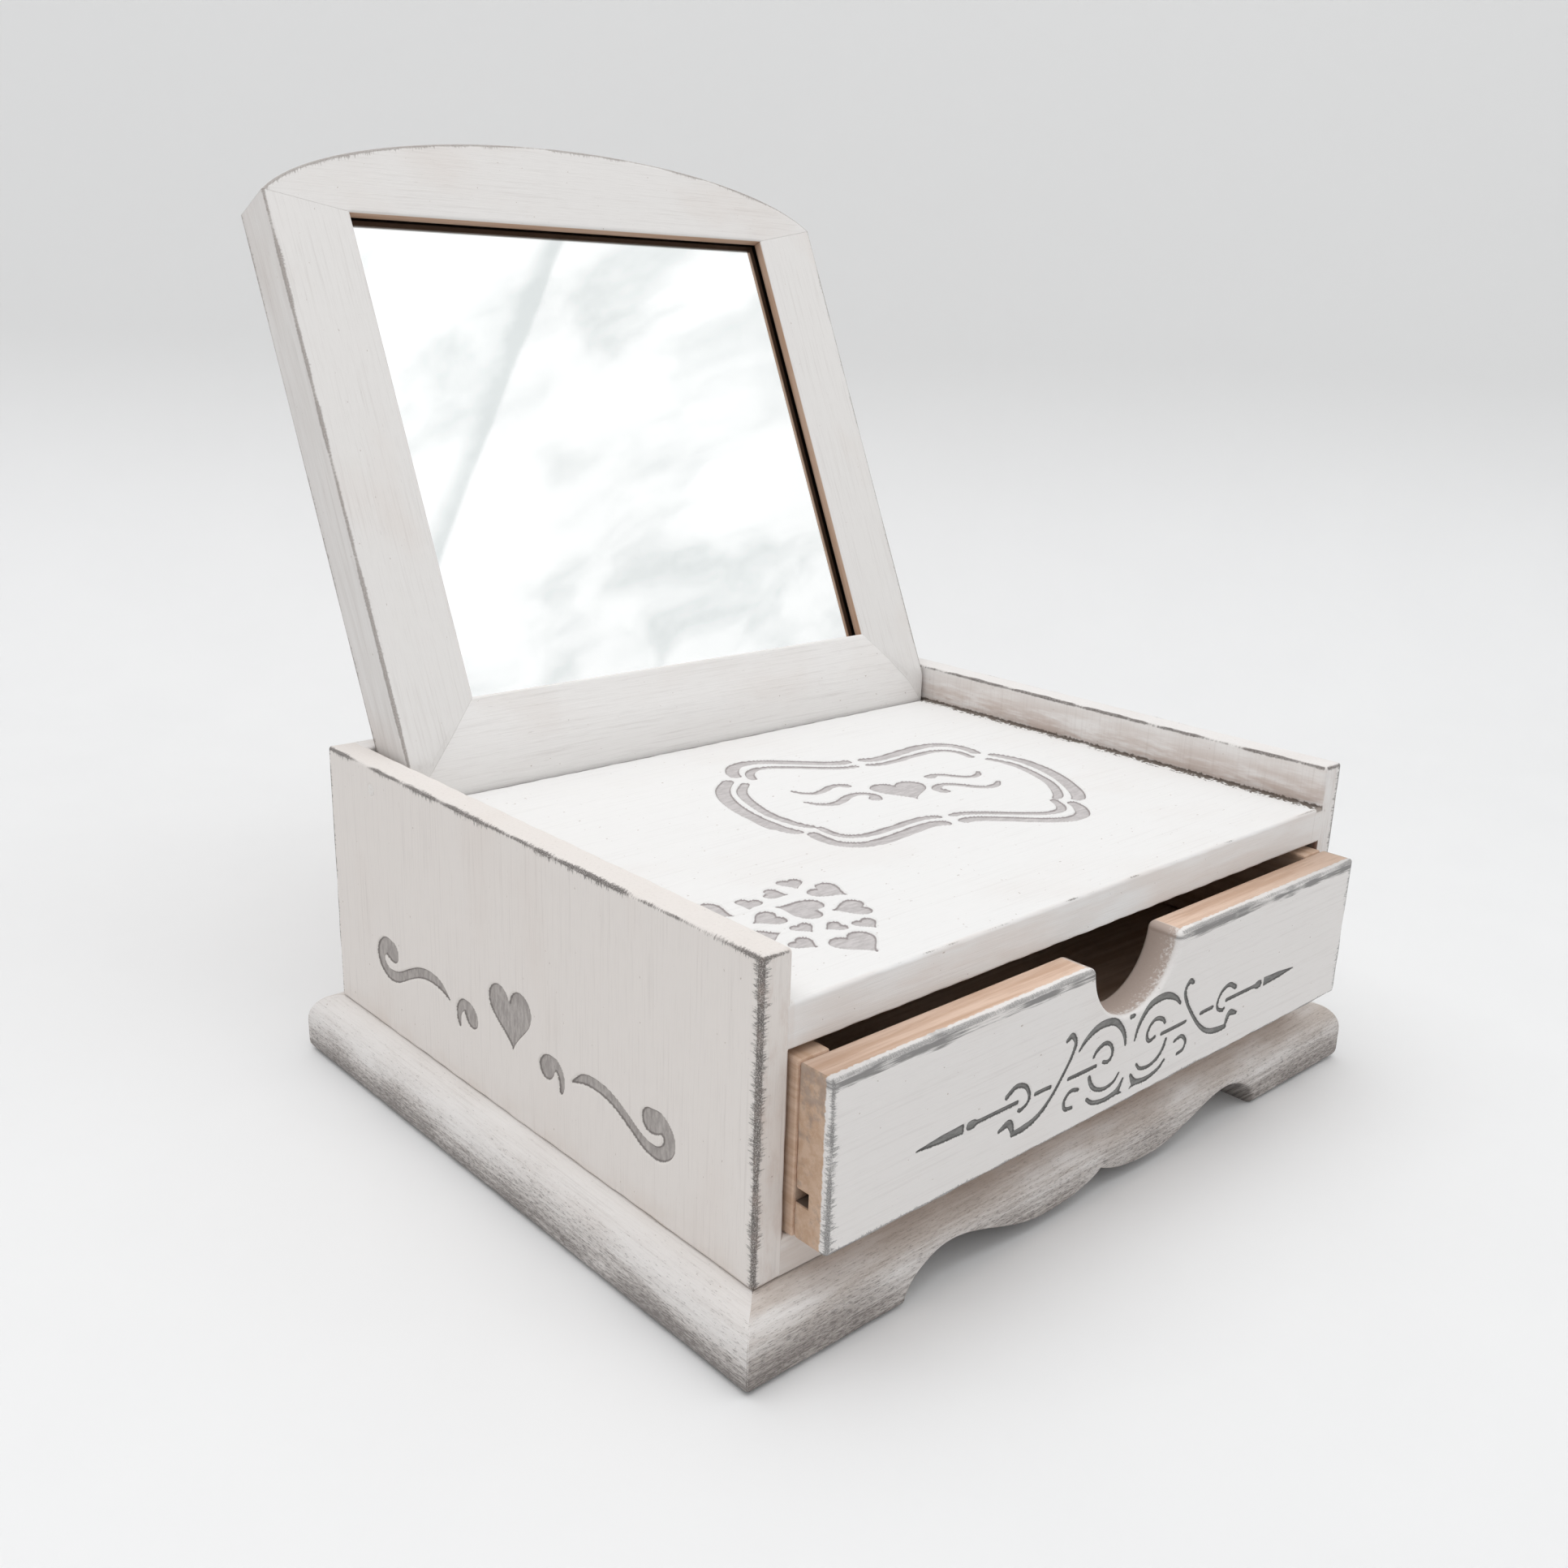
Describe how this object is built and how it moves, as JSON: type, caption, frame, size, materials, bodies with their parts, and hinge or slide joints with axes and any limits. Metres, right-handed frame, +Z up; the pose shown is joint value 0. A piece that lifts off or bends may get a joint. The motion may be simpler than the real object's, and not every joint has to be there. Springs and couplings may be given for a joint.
{
  "type": "jewellery chest",
  "caption": "White painted wooden jewellery chest with a drawer, a scalloped plinth and a tilting mirror lid with an arched top, stencilled with recessed scrolls and hearts.",
  "frame": {"origin": "on the table under the middle of the whole chest's outline, with the lid leaning open and the drawer a little way out", "axes": "+X to the chest's right as seen from its front, +Y towards its back, +Z up"},
  "size_m": [0.214, 0.2324, 0.2327],
  "materials": {
    "white_paint": "matt white paint, brushed thin, rubbed back to grey along the edges",
    "worn_paint": "matt white paint over grey, worn through in streaks along the grain",
    "bare_wood": "unfinished sawn wood",
    "mirror": "silvered glass",
    "fibreboard": "smooth brown fibreboard",
    "steel": "plain drawn steel",
    "filler": "painted wood filler"
  },
  "bodies": {
    "case": {"left_side_panel": "white_paint", "right_side_panel": "white_paint", "back_panel": "white_paint", "top_deck": "white_paint", "bottom_panel": "white_paint", "plinth_front": "worn_paint", "plinth_back": "worn_paint", "plinth_left": "worn_paint", "plinth_right": "worn_paint", "left_lid_pin": "steel", "right_lid_pin": "steel", "left_pin_plug": "filler", "right_pin_plug": "filler"},
    "lid": {"lid_top_rail": "white_paint", "lid_bottom_rail": "white_paint", "lid_left_stile": "white_paint", "lid_right_stile": "white_paint", "mirror_glass": "mirror", "mirror_backing": "fibreboard", "left_brad": "steel", "right_brad": "steel", "bottom_brad": "steel", "top_brad": "steel"},
    "drawer": {"drawer_front": "white_paint", "drawer_left_side": "bare_wood", "drawer_right_side": "bare_wood", "drawer_back": "bare_wood", "drawer_bottom": "bare_wood"}
  },
  "joints": [
    {"name": "lid_hinge", "type": "hinge", "parent": "case", "child": "lid", "pos_m": [0, 0.03703, 0.078], "axis": [1, 0, 0], "range_deg": [0, 114.4]},
    {"name": "drawer_slide", "type": "slide", "parent": "case", "child": "drawer", "axis": [0, -1, 0], "range_m": [-0.0108, 0.1092]}
  ]
}
